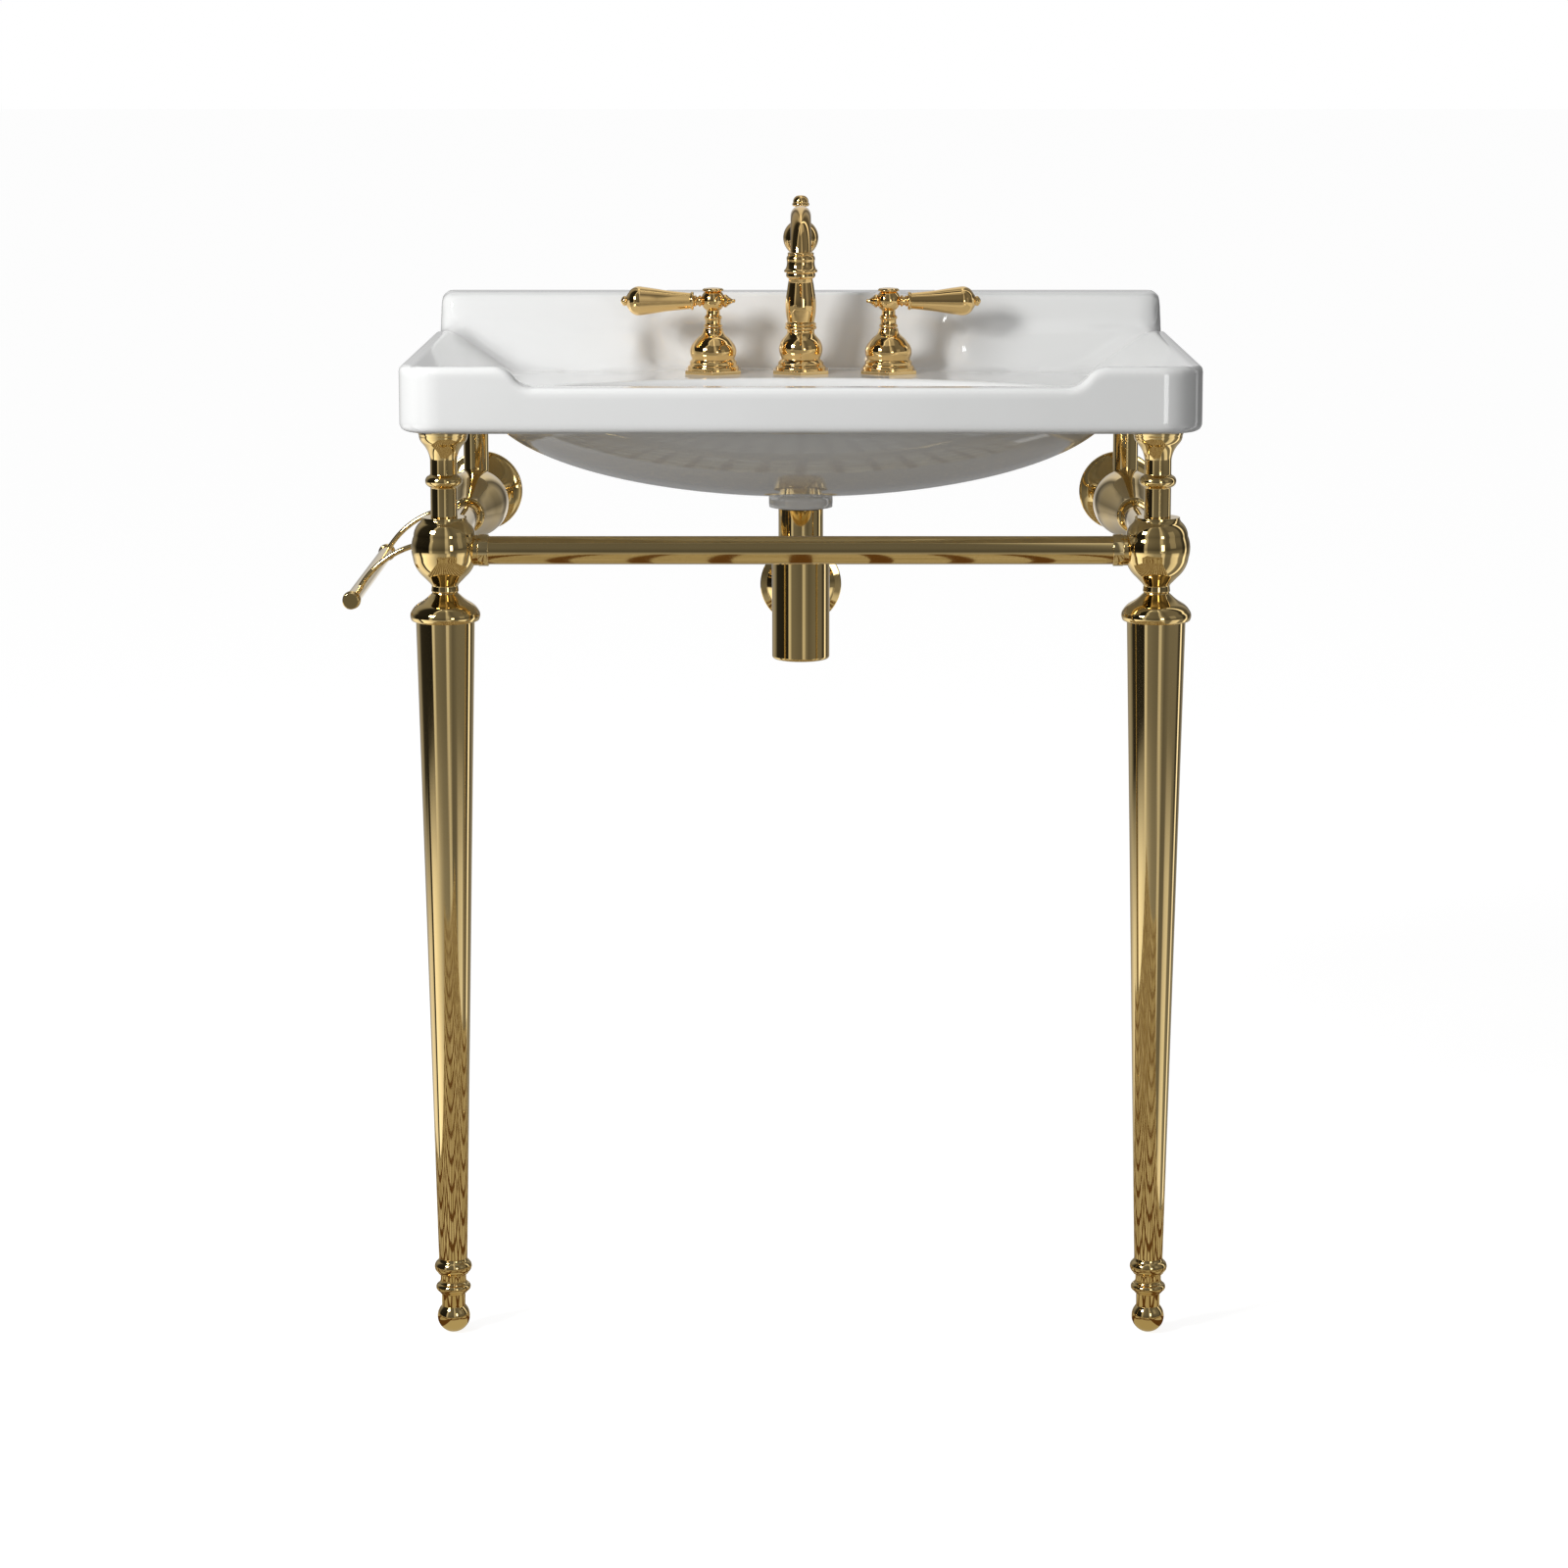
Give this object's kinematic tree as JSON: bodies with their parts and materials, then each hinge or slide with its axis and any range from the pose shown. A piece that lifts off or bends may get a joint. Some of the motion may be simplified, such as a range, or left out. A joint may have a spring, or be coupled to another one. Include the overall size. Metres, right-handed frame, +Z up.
{
  "type": "console sink with legs",
  "caption": "Rectangular ceramic console basin on turned brass legs with side rails to the wall, widespread taps, pop-up waste, bottle trap and a side towel bar.",
  "frame": {"origin": "midway between the basin's two wall bolts, on the face of the wall", "axes": "+X to the right as seen from the front, +Y into the wall, +Z up; the floor is at z = -0.855"},
  "size_m": [0.7623, 0.535, 1.0065],
  "materials": {
    "glazed_ceramic": "white gloss glaze",
    "stand_gold": "polished gold",
    "tap_gold": "polished warm gold",
    "zinc_steel": "zinc plated",
    "rubber": "matt"
  },
  "bodies": {
    "console": {"aerator": "tap_gold", "basin": "glazed_ceramic", "basin_nuts": "zinc_steel", "cold_bell": "tap_gold", "cold_valve": "tap_gold", "drain_body": "tap_gold", "drain_flange": "tap_gold", "drain_seal": "rubber", "front_rail": "stand_gold", "front_towel_arm": "stand_gold", "hot_bell": "tap_gold", "hot_valve": "tap_gold", "left_foot": "stand_gold", "left_hub": "stand_gold", "left_leg_collar": "stand_gold", "left_leg_shaft": "stand_gold", "left_rear_bracket": "stand_gold", "left_rear_post": "stand_gold", "left_side_rail": "stand_gold", "left_top_post": "stand_gold", "left_wall_flange": "stand_gold", "leg_studs": "zinc_steel", "mixer_tubes": "tap_gold", "pivot_nut": "tap_gold", "rail_collars": "stand_gold", "rear_towel_arm": "stand_gold", "right_foot": "stand_gold", "right_hub": "stand_gold", "right_leg_collar": "stand_gold", "right_leg_shaft": "stand_gold", "right_rear_bracket": "stand_gold", "right_rear_post": "stand_gold", "right_side_rail": "stand_gold", "right_top_post": "stand_gold", "right_wall_flange": "stand_gold", "spout_base": "tap_gold", "spout_column": "tap_gold", "spout_riser": "tap_gold", "spout_tube": "tap_gold", "tap_locknuts": "tap_gold", "towel_arm_clamp": "stand_gold", "towel_bar": "stand_gold", "towel_bar_caps": "stand_gold", "trap_bottle": "stand_gold", "trap_dip_tube": "stand_gold", "trap_escutcheon": "stand_gold", "trap_lid": "stand_gold", "trap_outlet_nut": "stand_gold", "trap_outlet_pipe": "stand_gold", "wall_studs": "zinc_steel"},
    "hot_handle": {"hot_lever": "tap_gold", "hot_lever_cap": "tap_gold", "hot_stem": "tap_gold"},
    "cold_handle": {"cold_lever": "tap_gold", "cold_lever_cap": "tap_gold", "cold_stem": "tap_gold"},
    "lift": {"lift_rod": "tap_gold", "clevis_strap": "tap_gold"},
    "pivot": {"pivot_rod": "tap_gold"},
    "stopper": {"pop_up_stopper": "tap_gold"}
  },
  "joints": [
    {"name": "hot_turn", "type": "hinge", "parent": "console", "child": "hot_handle", "pos_m": [-0.084, -0.095, 0.032], "axis": [0, 0, 1], "range_deg": [0, 90]},
    {"name": "cold_turn", "type": "hinge", "parent": "console", "child": "cold_handle", "pos_m": [0.084, -0.095, 0.032], "axis": [0, 0, -1], "range_deg": [0, 90]},
    {"name": "lift_slide", "type": "slide", "parent": "console", "child": "lift", "axis": [0, 0, 1], "range_m": [0, 0.0245]},
    {"name": "pivot_swing", "type": "hinge", "parent": "console", "child": "pivot", "pos_m": [0, -0.265, -0.143], "axis": [1, 0, 0], "range_deg": [0, 14.3]},
    {"name": "stopper_slide", "type": "slide", "parent": "console", "child": "stopper", "axis": [0, 0, -1], "range_m": [0, 0.00677]}
  ],
  "couplings": [
    {"joint": "pivot_swing", "follows": "lift_slide", "rad_per_m": 10.18},
    {"joint": "stopper_slide", "follows": "lift_slide", "ratio": 0.2755}
  ]
}
